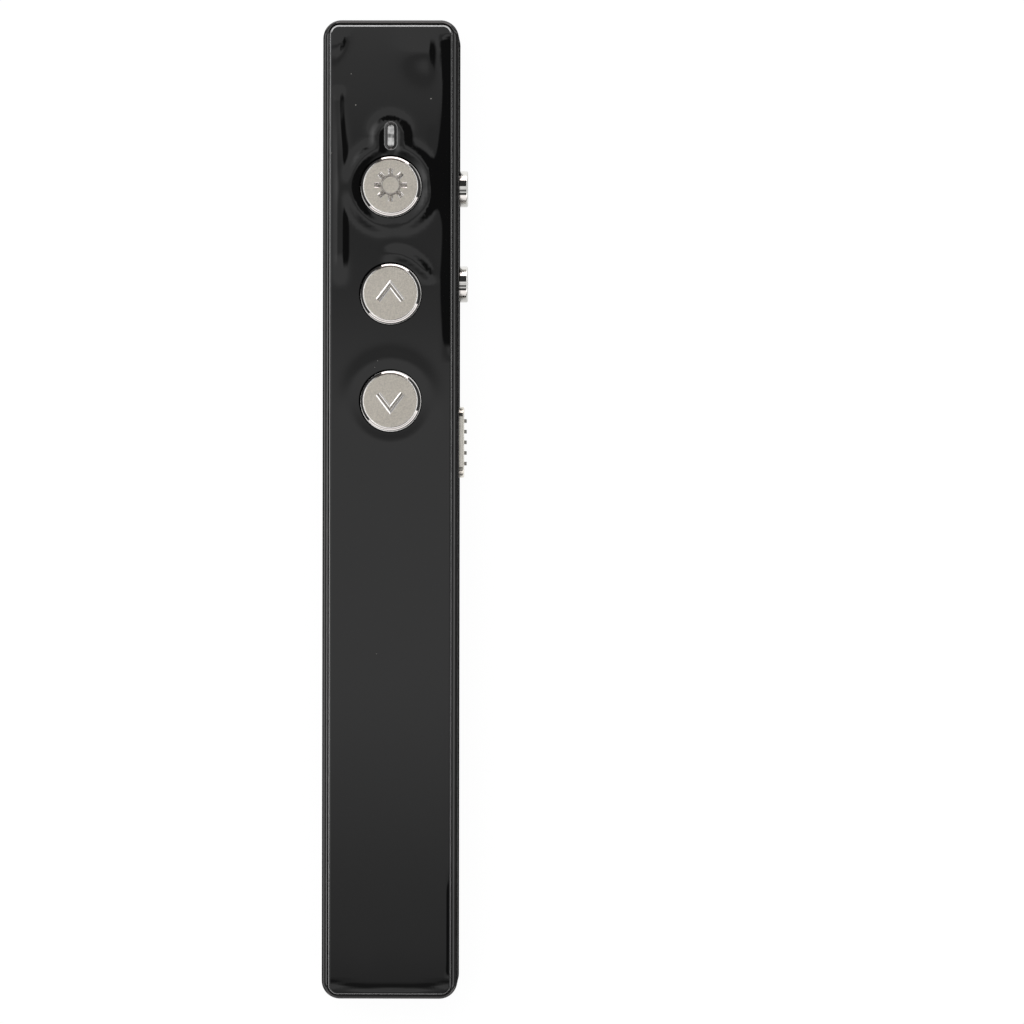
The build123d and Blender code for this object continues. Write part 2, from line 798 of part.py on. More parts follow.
def power_switch_lever():
    """The lever that the slider's fork carries, with its shoe inside the switch."""
    shoe_front = power_switch_face_x - power_switch_wall - lever_gap
    z = (side_axis_z - lever_height / 2, side_axis_z + lever_height / 2)
    arm_y = (slider_y - lever_width / 2, slider_y + lever_width / 2)
    shoe_y = (slider_y - lever_shoe_width / 2, slider_y + lever_shoe_width / 2)
    arm = block((shoe_front, lever_tip_x), arm_y, z)
    return arm + block((shoe_front - lever_shoe_depth, shoe_front), shoe_y, z)


# ---- board and what stands on it -------------------------------------------------------------------------
def main_board():
    middle = (board_tip_y + board_tail_y) / 2
    board = Pos(0, middle, 0) * rounded_slab(
        2 * board_half_width, board_tip_y - board_tail_y, board_corner_radius, board_bottom, board_top
    )
    hole = screw_radius + screw_hole_clearance
    return board - [upright(hole, x, y, board_bottom, board_top) for x, y in boss_spots]


def board_screws():
    """Slotted pan-head screws through the board into the bosses."""
    screws = []
    for x, y in boss_spots:
        head_top = board_top + screw_head_height
        screw = upright(screw_radius, x, y, board_bottom - screw_length, board_top)
        screw += upright(screw_head_radius, x, y, board_top, head_top)
        slot = block(
            (x - screw_head_radius, x + screw_head_radius),
            (y - screw_slot_width / 2, y + screw_slot_width / 2),
            (head_top - screw_slot_depth, head_top),
        )
        screws.append(screw - slot)
    return Compound(children=screws)


def status_led():
    """A surface-mounted LED: a base as long as the part and a shorter lens."""
    x = (-led_width / 2, led_width / 2)
    middle = board_top + led_base_height
    base = block(x, (light_y - led_length / 2, light_y + led_length / 2), (board_top, middle))
    lens_y = (light_y - led_lens_length / 2, light_y + led_lens_length / 2)
    return base + block(x, lens_y, (middle, board_top + led_height))


def light_pipe():
    """A clear lens in the cover's slot, a flange below the cover and a guide down to the LED."""
    lens_width = light_slot_width - 2 * light_lens_gap
    lens_length = light_slot_length - 2 * light_lens_gap
    lens_top = body_height - light_lens_sink
    flange_bottom = cover_bottom - light_flange_thickness
    lens = pill(lens_length, lens_width, light_y, flange_bottom, lens_top)
    flange_side = light_slot_width / 2 + light_flange_margin
    flange_y = (light_y - lens_length / 2, light_y + lens_length / 2)
    flange = block((-flange_side, flange_side), flange_y, (flange_bottom, cover_bottom))
    guide_bottom = board_top + led_height + light_guide_gap
    return lens + flange + pill(lens_length, light_slot_width, light_y, guide_bottom, flange_bottom)


def chip(x, y, length, width, height):
    """A small part on the board's front face."""
    across = (x - width / 2, x + width / 2)
    return block(across, (y - length / 2, y + length / 2), (board_top, board_top + height))


def moulded_chip(y, length, width, height):
    """A chip on the board's middle line, with its top edges eased."""
    return fillet(top_edges(chip(0, y, length, width, height)), chip_edge_radius)


def radio_chip():
    y = cell_tip_y - radio_from_cell_tip
    return moulded_chip(y, radio_size, radio_size, radio_height)


def crystal():
    y = cell_tip_y - crystal_from_cell_tip
    return moulded_chip(y, crystal_length, crystal_width, crystal_height)


def charger_chip():
    y = board_tail_y + socket_depth + charger_from_socket + charger_length / 2
    return moulded_chip(y, charger_length, charger_width, charger_height)


def board_capacitors():
    first = cell_tail_y + capacitor_length
    size = (capacitor_length, capacitor_width, capacitor_height)
    ys = [first + i * capacitor_pitch for i in range(capacitor_count)]
    return Compound(children=[chip(board_half_width / 2, y, *size) for y in ys])


def antenna():
    """A meander of thin copper strip on the board, beside the middle screw."""
    left = -board_half_width + antenna_edge_gap
    base_y = middle_boss_y - antenna_pitch * antenna_turns / 2
    strip = None
    z = (board_top, board_top + antenna_thickness)
    for i in range(antenna_turns + 1):
        y = base_y + i * antenna_pitch
        run = block((left, left + antenna_span), (y - antenna_strip / 2, y + antenna_strip / 2), z)
        strip = run if strip is None else strip + run
        if i < antenna_turns:
            x = left + (antenna_span - antenna_strip if i % 2 == 0 else 0)
            strip += block((x, x + antenna_strip), (y, y + antenna_pitch), z)
    return strip


# ---- battery ---------------------------------------------------------------------------------------------
def battery_cell():
    """A pouch cell, round along its long edges."""
    cell = block((-cell_width / 2, cell_width / 2), (cell_tail_y, cell_tip_y), (cell_bottom, cell_top))
    return fillet(cell.edges().filter_by(Axis.Y), cell_edge_radius)


def battery_pad():
    """The foam tape that the cell stands on."""
    side = cell_width / 2 - cell_pad_inset
    y = (cell_tail_y + cell_pad_inset, cell_tip_y - cell_pad_inset)
    return block((-side, side), y, (floor_thickness, cell_bottom))


def battery_protection_board():
    """The small board on the cell's end, resting on the rib there."""
    side = cell_width / 2 - cell_edge_radius
    y = (cell_tip_y, cell_tip_y + protection_length)
    return block((-side, side), y, (protection_bottom, protection_bottom + protection_thickness))


def battery_lead(sign):
    """A wire from the protection board, round one bend and up to the main board."""
    x = sign * lead_spread / 2
    start_y = cell_tip_y + protection_length
    z = protection_bottom + protection_thickness / 2
    points = [(x, start_y, z), (x, start_y + lead_reach, z), (x, start_y + lead_reach, board_bottom)]
    route = FilletPolyline(*points, radius=lead_bend_radius)
    return sweep(Plane(route @ 0, z_dir=route % 0) * Circle(lead_radius), path=route)


# ---- laser -----------------------------------------------------------------------------------------------
def laser_barrel():
    bore = laser_radius - laser_wall
    barrel = along_y(laser_radius, 0, laser_axis_z, laser_back_y, laser_front_y)
    barrel -= along_y(bore, 0, laser_axis_z, laser_back_y, laser_front_y - laser_front_wall)
    front_wall = (laser_front_y - laser_front_wall, laser_front_y)
    return barrel - along_y(laser_aperture_radius, 0, laser_axis_z, *front_wall)


def laser_lens():
    """A lens against the barrel's front wall, flat in front and domed behind."""
    radius = laser_radius - laser_wall
    front = laser_front_y - laser_front_wall
    back = front - laser_lens_thickness
    dome_radius = (radius**2 + laser_lens_bulge**2) / (2 * laser_lens_bulge)
    sides = Polyline((0, back - laser_lens_bulge), (0, front), (radius, front), (radius, back))
    dome = RadiusArc((radius, back), (0, back - laser_lens_bulge), dome_radius)
    return Pos(0, 0, laser_axis_z) * revolve(make_face(sides + dome), Axis.Y)


def laser_diode():
    """The diode's can on its base, just inside the barrel's tail."""
    base_back = driver_front_y
    base_front = base_back + diode_base_length
    base = along_y(laser_radius - laser_wall, 0, laser_axis_z, base_back, base_front)
    return base + along_y(diode_cap_radius, 0, laser_axis_z, base_front, base_front + diode_cap_length)


def laser_driver():
    side = laser_radius - laser_wall - driver_side_gap
    half = driver_thickness / 2
    return block((-side, side), (driver_back_y, driver_front_y), (laser_axis_z - half, laser_axis_z + half))


def laser_pins():
    """Two pins from the driver up to the main board."""
    low = laser_axis_z + driver_thickness / 2
    y = driver_back_y + laser_pin_inset
    xs = (-laser_pin_spread / 2, laser_pin_spread / 2)
    return Compound(children=[upright(laser_pin_radius, x, y, low, board_bottom) for x in xs])


def laser_window():
    front = half_length - window_sink
    return along_y(window_radius, 0, laser_axis_z, front - window_thickness, front)


# ---- charging socket -------------------------------------------------------------------------------------
def socket_outline(inset):
    """The socket's shape seen from the tail: narrower at its foot."""
    half = socket_width / 2 - inset
    low_half = socket_lower_width / 2 - inset
    low = board_top + inset
    high = board_top + socket_height - inset
    shoulder = board_top + socket_height * socket_shoulder_share
    right_side = [(low_half, low), (half, shoulder), (half, high)]
    left_side = [(-x, z) for x, z in reversed(right_side)]
    outline = make_face(Polyline(*right_side, *left_side, close=True))
    return fillet(outline.vertices().group_by(Axis.Y)[-1], socket_corner - inset)


def socket_plane(y):
    return Plane((0, y, 0), x_dir=(1, 0, 0), z_dir=(0, -1, 0))


def socket_shell():
    mouth = tail_y + socket_recess
    back = mouth + socket_depth
    shell = extrude(socket_plane(back) * socket_outline(0), socket_depth)
    return shell - extrude(socket_plane(back - socket_wall) * socket_outline(socket_wall), socket_depth)


def socket_tongue():
    """The contact tongue, standing out from the back of the shell."""
    back = tail_y + socket_recess + socket_depth - socket_wall
    base_front = back - socket_tongue_base
    tip = base_front - socket_tongue_length
    z_mid = board_top + socket_height / 2
    half = socket_tongue_thickness / 2
    side = socket_tongue_width / 2
    low = board_top + socket_wall
    high = board_top + socket_height - socket_wall
    base = block((-side, side), (base_front, back), (low, high))
    return base + block((-side, side), (tip, base_front), (z_mid - half, z_mid + half))


# ---- receiver --------------------------------------------------------------------------------------------
def plug_tab():
    """The tapered tongue of the plug's skin that reaches back over the receiver's body."""
    points = [
        (-plug_tab_root / 2, plug_root_y),
        (-plug_tab_tip / 2, plug_root_y - plug_tab_length),
        (plug_tab_tip / 2, plug_root_y - plug_tab_length),
        (plug_tab_root / 2, plug_root_y),
    ]
    return Pos(0, 0, receiver_bottom) * extrude(make_face(Polyline(*points, close=True)), plug_wall)


def receiver_plug():
    """The plug's folded steel skin, with its windows."""
    half = plug_width / 2
    top = receiver_bottom + plug_height
    y = (plug_root_y, receiver_tip_y)
    skin = block((-half, half), y, (receiver_bottom, top))
    skin = fillet(skin.edges().filter_by(Axis.Y), plug_wall)
    skin -= block((-half + plug_wall, half - plug_wall), y, (receiver_bottom + plug_wall, top - plug_wall))
    skin += plug_tab()
    window_y = receiver_tip_y - plug_window_from_tip
    for x in (-plug_window_offset, plug_window_offset):
        skin -= block(
            (x - plug_window_width / 2, x + plug_window_width / 2),
            (window_y - plug_window_length / 2, window_y + plug_window_length / 2),
            (receiver_bottom, top),
        )
    latch_y = receiver_tip_y - latch_window_from_tip
    skin -= block(
        (-latch_window_width / 2, latch_window_width / 2),
        (latch_y - latch_window_length / 2, latch_y + latch_window_length / 2),
        (receiver_bottom, receiver_bottom + plug_wall),
    )
    return skin


def tongue_levels():
    high = receiver_bottom + plug_height - plug_wall
    return high - tongue_thickness, high


def receiver_tongue():
    """The plug's inner tongue, which carries the contacts."""
    low, high = tongue_levels()
    side = plug_width / 2 - plug_wall
    y = (plug_root_y, receiver_tip_y - tongue_tip_gap)
    return block((-side, side), y, (low, high))


def receiver_contacts():
    low = tongue_levels()[0]
    y = (plug_root_y, receiver_tip_y - contact_tip_gap)
    strips = []
    for i in range(contact_count):
        x = (i - (contact_count - 1) / 2) * contact_pitch
        across = (x - contact_width / 2, x + contact_width / 2)
        strips.append(block(across, y, (low - contact_thickness, low)))
    return Compound(children=strips)


def receiver_board_place():
    side = plug_width / 2 - receiver_board_side_gap
    y = (receiver_tail_y + receiver_board_tail_gap, plug_root_y)
    high = tongue_levels()[1]
    return (-side, side), y, (high - receiver_board_thickness, high)


def receiver_board():
    return block(*receiver_board_place())


def receiver_body():
    """The receiver's moulded tail: a thumb grip on its exposed face and a nub on each side."""
    half = plug_width / 2
    top = receiver_bottom + plug_height
    body = block((-half, half), (receiver_tail_y, plug_root_y), (receiver_bottom, top))
    body = fillet(body.edges().filter_by(Axis.Y), plug_wall)
    body = fillet(body.faces().sort_by(Axis.Y)[0].edges(), tail_edge_radius)
    grip_y = plug_root_y - plug_tab_length - grip_from_tab - grip_width / 2
    grip_outline = SlotOverall(plug_width - 2 * grip_side_margin, grip_width)
    grip = Pos(0, grip_y, receiver_bottom) * extrude(grip_outline, grip_depth)
    nub_y = receiver_tail_y + nub_from_tail
    middle = receiver_bottom + plug_height / 2
    for sign in (-1, 1):
        nub_x = half + nub_rise - nub_radius
        z = (middle - nub_height / 2, middle + nub_height / 2)
        web = block(sorted((sign * half, sign * nub_x)), (nub_y - nub_radius, nub_y + nub_radius), z)
        body += upright(nub_radius, sign * nub_x, nub_y, *z) + web
    return body - grip - plug_tab() - block(*receiver_board_place())


# ---- build -----------------------------------------------------------------------------------------------
def all_nodes():
    nodes = {
        "rear_case": rear_case(),
        "front_cover": front_cover(),
        "laser_key": front_key(key_ys[0], sun_icon()),
        "page_up_key": front_key(key_ys[1], chevron_icon(True)),
        "page_down_key": front_key(key_ys[2], chevron_icon(False)),
        "upper_side_key": side_key(side_key_ys[0]),
        "lower_side_key": side_key(side_key_ys[1]),
        "power_slider": power_slider(),
        "power_switch_case": power_switch_case(),
        "power_switch_lever": power_switch_lever(),
        "main_board": main_board(),
        "board_screws": board_screws(),
        "status_led": status_led(),
        "light_pipe": light_pipe(),
        "radio_chip": radio_chip(),
        "crystal": crystal(),
        "charger_chip": charger_chip(),
        "board_capacitors": board_capacitors(),
        "antenna": antenna(),
        "battery_cell": battery_cell(),
        "battery_pad": battery_pad(),
        "battery_protection_board": battery_protection_board(),
        "battery_lead_positive": battery_lead(1),
        "battery_lead_negative": battery_lead(-1),
        "laser_barrel": laser_barrel(),
        "laser_lens": laser_lens(),
        "laser_diode": laser_diode(),
        "laser_driver": laser_driver(),
        "laser_pins": laser_pins(),
        "laser_window": laser_window(),
        "charging_socket_shell": socket_shell(),
        "charging_socket_tongue": socket_tongue(),
        "receiver_plug": receiver_plug(),
        "receiver_tongue": receiver_tongue(),
        "receiver_contacts": receiver_contacts(),
        "receiver_board": receiver_board(),
        "receiver_body": receiver_body(),
    }
    front_names = ("laser_switch", "page_up_switch", "page_down_switch")
    side_names = ("upper_side_switch", "lower_side_switch")
    switches = [(name, key_switch, key_switch_place(y)) for name, y in zip(front_names, key_ys)]
    switches += [(name, side_switch, side_switch_place(y)) for name, y in zip(side_names, side_key_ys)]
    for name, kind, place in switches:
        nodes[f"{name}_base"] = place * switch_base(kind)
        nodes[f"{name}_frame"] = place * switch_frame(kind)
        nodes[f"{name}_dome"] = place * switch_dome(kind)
        nodes[f"{name}_stem"] = place * switch_stem(kind)
    return nodes


os.makedirs("parts", exist_ok=True)
for node_name, shape in all_nodes().items():
    export_step(shape, f"parts/{node_name}.step")
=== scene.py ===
"""The looks of the wireless presentation clicker: materials, the moulded front, floor, light and camera."""
import math

import bmesh
import bpy
from mathutils import Euler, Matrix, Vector


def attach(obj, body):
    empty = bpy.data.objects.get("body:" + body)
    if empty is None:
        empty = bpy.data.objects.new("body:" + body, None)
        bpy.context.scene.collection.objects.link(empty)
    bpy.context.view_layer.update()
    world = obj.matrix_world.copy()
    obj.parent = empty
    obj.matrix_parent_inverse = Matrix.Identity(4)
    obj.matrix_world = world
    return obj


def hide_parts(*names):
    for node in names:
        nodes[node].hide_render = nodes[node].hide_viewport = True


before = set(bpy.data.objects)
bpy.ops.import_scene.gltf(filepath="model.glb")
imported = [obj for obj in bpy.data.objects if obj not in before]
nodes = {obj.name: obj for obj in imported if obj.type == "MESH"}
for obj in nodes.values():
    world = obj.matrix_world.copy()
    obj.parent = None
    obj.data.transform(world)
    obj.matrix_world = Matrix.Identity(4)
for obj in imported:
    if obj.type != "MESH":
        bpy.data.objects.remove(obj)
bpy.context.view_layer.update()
scene = bpy.context.scene
MM = 0.001

# ---- places on the part, in millimetres ------------------------------------------------------------------
FRONT_Z = 12.0
KEY_YS = (45.2, 30.2, 15.2)  # the front keys' middles, the first nearest to the tip
KEY_PITCH = 15.0
KEY_TOP = 12.9
DISC_RADIUS = 3.7  # a key's flat top
SIGN_REACH = 3.0  # all of a sign is nearer to its key's middle than this
SUN_RADIUS = 1.7
FIRST_KEY_FROM = 38.0  # only the first key lies past this y
LIGHT_Y = 52.3
LIGHT_HALF_RUN = 1.08  # the straight part of the light's slot
RIB_TIP_X = 10.3
CAP_FIRST, CAP_PITCH, CAP_END = -42.15, 2.4, 0.5  # the row of capacitors, and where their tinned ends begin

# Rounded rectangles: half the width, half the length and the corners' radius.
COVER_OUTLINE = (8.58, 67.88, 1.3)
SEAT_OUTLINE = (8.66, 67.96, 1.38)
BODY_OUTLINE = (9.5, 68.5, 2.55)

# Specks of dust on the front: x, y and radius.
SPECKS = (
    (-5.56, 60.97, 0.09),
    (-4.92, 56.6, 0.12),
    (5.62, 57.5, 0.13),
    (-8.3, 49.9, 0.08),
    (-2.2, 19.9, 0.07),
    (-1.8, 20.8, 0.07),
    (-1.9, -20.2, 0.06),
)

# The moulded front
KEY_RIDGE_RADIUS = 5.6
THIRD_RIDGE_RADIUS = 5.9
LIGHT_RIDGE_RADIUS = 1.75
RIDGE_HEIGHT = 0.15
GRID_ALONG, GRID_ACROSS = 0.6, 0.5  # how far apart its grid's cuts are
SLOPE_STEP = 0.02  # the step that its slopes are measured over
ON_FRONT = 2e-6  # in metres: a point this near to the front's height is on it


# ---- short calls for shader nodes ------------------------------------------------------------------------
class Term:
    """A number in a node tree. Sums, products and so on of terms make Math nodes."""

    def __init__(self, graph, socket):
        self.graph, self.socket = graph, socket

    def __add__(self, other):
        return self.graph.math("ADD", self, other)

    def __sub__(self, other):
        return self.graph.math("SUBTRACT", self, other)

    def __rsub__(self, other):
        return self.graph.math("SUBTRACT", other, self)

    def __mul__(self, other):
        return self.graph.math("MULTIPLY", self, other)

    def __truediv__(self, other):
        return self.graph.math("DIVIDE", self, other)

    def __abs__(self):
        return self.graph.math("ABSOLUTE", self)

    def least(self, other):
        return self.graph.math("MINIMUM", self, other)

    def most(self, other):
        return self.graph.math("MAXIMUM", self, other)

    def root(self):
        return self.graph.math("SQRT", self)

    def bell(self, middle, width):
        """1 at the middle, falling smoothly to nothing about two widths away."""
        t = (self - middle) * (1 / width)
        return self.graph.math("EXPONENT", t * t * -1)

    def step(self, low, high):
        """0 below low, 1 above high and a smooth rise between. With low above high it falls instead."""
        if low > high:
            return 1 - self.step(high, low)
        node = self.graph.add("ShaderNodeMapRange", interpolation_type="SMOOTHSTEP")
        self.graph.feed(node.inputs["Value"], self)
        node.inputs["From Min"].default_value = low
        node.inputs["From Max"].default_value = high
        return Term(self.graph, node.outputs["Result"])

    def between(self, low, high, soft):
        return self.step(low - soft, low + soft) * self.step(high + soft, high - soft)

    def to(self, low, high):
        """A 0 to 1 term spread over another range."""
        return self * (high - low) + low


class Graph:
    def __init__(self, tree):
        self.tree = tree
        tree.nodes.clear()

    def add(self, kind, **settings):
        node = self.tree.nodes.new(kind)
        for key, value in settings.items():
            setattr(node, key, value)
        return node

    def feed(self, socket, value):
        if isinstance(value, Term):
            self.tree.links.new(value.socket, socket)
        elif isinstance(value, bpy.types.NodeSocket):
            self.tree.links.new(value, socket)
        else:
            socket.default_value = value

    def math(self, operation, *values):
        node = self.add("ShaderNodeMath", operation=operation)
        for socket, value in zip(node.inputs, values):
            self.feed(socket, value)
        return Term(self, node.outputs[0])

    def place(self, scale):
        """The point on the part in its own frame, in metres, times a scale."""
        node = self.add("ShaderNodeMapping")
        self.feed(node.inputs["Vector"], self.add("ShaderNodeTexCoord").outputs["Object"])
        node.inputs["Scale"].default_value = scale
        return node.outputs["Vector"]

    def xyz(self, vector=None):
        """The point's X, Y and Z in millimetres, or a vector's parts."""
        node = self.add("ShaderNodeSeparateXYZ")
        self.feed(node.inputs[0], vector or self.place((1000, 1000, 1000)))
        return [Term(self, socket) for socket in node.outputs]

    def normal(self):
        return self.xyz(self.add("ShaderNodeTexCoord").outputs["Normal"])

    def noise(self, size, detail=2.0, rough=0.5, stretch=(1, 1, 1)):
        """Noise from about 0 to 1 in lumps size millimetres across, times the stretch along each axis."""
        node = self.add("ShaderNodeTexNoise")
        self.feed(node.inputs["Vector"], self.place(tuple(1 / (size * MM * s) for s in stretch)))
        node.inputs["Scale"].default_value = 1
        node.inputs["Detail"].default_value = detail
        node.inputs["Roughness"].default_value = rough
        return Term(self, node.outputs["Fac"])

    def cells(self, size):
        """The distance from the nearest of scattered points that are size millimetres apart, and a number of
        that point's own."""
        node = self.add("ShaderNodeTexVoronoi")
        self.feed(node.inputs["Vector"], self.place((1 / (size * MM),) * 3))
        node.inputs["Scale"].default_value = 1
        chance = self.add("ShaderNodeSeparateColor")
        self.feed(chance.inputs[0], node.outputs["Color"])
        return Term(self, node.outputs["Distance"]), Term(self, chance.outputs[0])

    def blend(self, share, first, second):
        """A colour between two colours."""
        node = self.add("ShaderNodeMix", data_type="RGBA")
        self.feed(node.inputs[0], share)
        for socket, value in zip((node.inputs[6], node.inputs[7]), (first, second)):
            self.feed(socket, (*value, 1) if isinstance(value, tuple) else value)
        return node.outputs[2]

    def bump(self, height):
        """A normal from a height in millimetres."""
        node = self.add("ShaderNodeBump")
        node.inputs["Strength"].default_value = 1
        node.inputs["Distance"].default_value = MM
        self.feed(node.inputs["Height"], height)
        return node.outputs["Normal"]

    def surface(self, shader):
        out = self.add("ShaderNodeOutputMaterial")
        self.feed(out.inputs["Surface"], shader)

    def principled(self, **values):
        """A Principled surface. The names are its sockets', with _ for spaces. A colour of three numbers gets
        its alpha here."""
        node = self.add("ShaderNodeBsdfPrincipled")
        for name, value in values.items():
            if isinstance(value, tuple) and len(value) == 3:
                value = (*value, 1)
            self.feed(node.inputs[name.replace("_", " ")], value)
        self.surface(node.outputs[0])


def material(name):
    made = bpy.data.materials.new(name)
    made.use_nodes = True
    return made, Graph(made.node_tree)


# ---- the glossy front ------------------------------------------------------------------------------------
def hump(distance, width):
    """1 at no distance, falling smoothly to nothing about two widths away."""
    return math.exp(-((distance / width) ** 2))


def lean(distance, before, after):
    """A hump with one width before its middle and another after it."""
    return hump(distance, before if distance < 0 else after)


def rise(value, low, high):
    """0 at low, 1 at high and a smooth rise between. With low above high it falls instead."""
    t = min(max((value - low) / (high - low), 0), 1)
    return t * t * (3 - 2 * t)


def smooth_least(a, b, reach):
    """The smaller of two numbers, rounded off where they are within reach of each other."""
    near = max(reach - abs(a - b), 0) / reach
    return min(a, b) - near**3 * reach / 6


def soft_fall(distance, soft):
    """0 before no distance and the distance itself after it, with a soft turn between."""
    return soft * math.log1p(math.exp(distance / soft))


def key_ridges(x, y):
    """A ridge round the light and the first key together, and weaker ones round the other two keys."""
    first, second, third = (math.hypot(x, y - key_y) for key_y in KEY_YS)
    light = math.hypot(x + 0.1, y - min(max(y, LIGHT_Y - 5), LIGHT_Y))
    height = RIDGE_HEIGHT * hump(smooth_least(first - KEY_RIDGE_RADIUS, light - LIGHT_RIDGE_RADIUS, 1.1), 1.0)
    flattened = 0.8 * hump(x - 0.4, 3.2) * rise(KEY_YS[0] - y, 2, 5)
    quarter = rise(y - KEY_YS[1], 1.2, 3.6) * rise(x, -2, 2)
    height *= 1 - flattened
    height += 0.1 * hump(second - KEY_RIDGE_RADIUS, 0.9) * quarter
    return height + 0.03 * hump(third - THIRD_RIDGE_RADIUS, 1.2)


def swells(x, y):
    """Soft swells: a long one at the left edge, one in each corner of the tip and a faint one at right."""
    lower = rise(y, 57, 48)
    left = (0.07 + 0.05 * lower) * hump(x + 7.36 - 0.31 * lower, 0.7 + 0.3 * lower)
    height = left * rise(y, 31, 36) * rise(y, 59.5, 57.5)
    height += 0.085 * lean(x + 7.25 - 0.35 * (y - 65.2), 2.0, 0.8) * hump(y - 65.2, 1.6)
    height += 0.1 * lean(x - 5.0, 2.6, 1.05) * hump(y - 64.0, 2.6)
    return height + 0.016 * hump(x - 5.7, 0.6) * rise(y, 50, 54) * rise(y, 64, 61)


def falls(x, y):
    """Where the front falls away: along the right edge beside the keys, in a line across the tail, and along
    the right edge near the tail."""
    wavy_edge = 7.05 - 1.5 * hump(y - 45.6, 3.2) - 0.35 * hump(y - 50, 4) + 0.1 * math.sin(y * 0.35)
    depth = 0.095 * soft_fall(x - wavy_edge, 0.15) * rise(y, 20.5, 25) * rise(y, 66.4, 65.4)
    depth += 0.026 * hump(y + 67.0 - 0.55 * rise(abs(x), 3, 8.8), 0.35)
    return depth + 0.1 * soft_fall(x - 7.95, 0.1) * rise(y, -66, -64.5) * rise(y, -50, -54)


def front_relief(x, y):
    """How far the moulded front stands out at a point, all in millimetres."""
    return key_ridges(x, y) + swells(x, y) - falls(x, y)


def front_normal(x, y):
    step = SLOPE_STEP
    slope_x = (front_relief(x + step, y) - front_relief(x - step, y)) / (2 * step)
    slope_y = (front_relief(x, y + step) - front_relief(x, y - step)) / (2 * step)
    return Vector((-slope_x, -slope_y, 1)).normalized()


def on_front(face):
    return all(abs(vert.co.z - FRONT_Z * MM) < ON_FRONT for vert in face.verts)


def cut_front(bm):
    """Cuts the faces on the front into a fine grid of triangles."""
    for axis, reach, spacing in ((1, COVER_OUTLINE[1], GRID_ALONG), (0, COVER_OUTLINE[0], GRID_ACROSS)):
        faces = [face for face in bm.faces if on_front(face)]
        edges = {edge for face in faces for edge in face.edges}
        verts = {vert for face in faces for vert in face.verts}
        geometry = faces + list(edges) + list(verts)
        normal = Vector((0, 0, 0))
        normal[axis] = 1
        count = round(2 * reach / spacing)
        for i in range(1, count):
            at = normal * (reach * (2 * i / count - 1) * MM)
            cut = bmesh.ops.bisect_plane(bm, geom=geometry, dist=1e-8, plane_co=at, plane_no=normal)
            geometry = cut["geom"]
    bmesh.ops.triangulate(bm, faces=[face for face in bm.faces if len(face.verts) > 3])


def moulded_front():
    """The cover with its front cut into a fine grid and moved in and out by the relief. The rest of it keeps
    its normals."""
    mesh = nodes["front_cover"].data.copy()
    mesh.name = "front_cover_moulded"
    kept = [normal.vector.copy() for normal in mesh.corner_normals]
    bm = bmesh.new()
    bm.from_mesh(mesh)
    layer = bm.loops.layers.float_vector.new("kept_normal")
    for face in bm.faces:
        for loop in face.loops:
            loop[layer] = kept[loop.index]
    cut_front(bm)
    front = [face for face in bm.faces if on_front(face)]
    for face in front:
        for loop in face.loops:
            loop[layer] = front_normal(loop.vert.co.x / MM, loop.vert.co.y / MM)
    for vert in {vert for face in front for vert in face.verts}:
        vert.co.z += front_relief(vert.co.x / MM, vert.co.y / MM) * MM
    for face in bm.faces:
        face.smooth = True
    bm.to_mesh(mesh)
    bm.free()
    stored = mesh.attributes["kept_normal"]
    mesh.normals_split_custom_set([tuple(item.vector) for item in stored.data])
    mesh.attributes.remove(mesh.attributes["kept_normal"])
    made = bpy.data.objects.new("front_cover_moulded", mesh)
    scene.collection.objects.link(made)
    mesh.materials.clear()
    mesh.materials.append(gloss_panel())
    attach(made, "housing")
    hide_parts("front_cover")


def inset(x, y, outline):
    """How far inside a rounded rectangle a point is, in millimetres."""
    half_width, half_length, radius = outline
    across = abs(x) - (half_width - radius)
    along = abs(y) - (half_length - radius)
    corner = (across.most(0) * across.most(0) + along.most(0) * along.most(0)).root()
    return radius - corner - across.most(along).least(0)


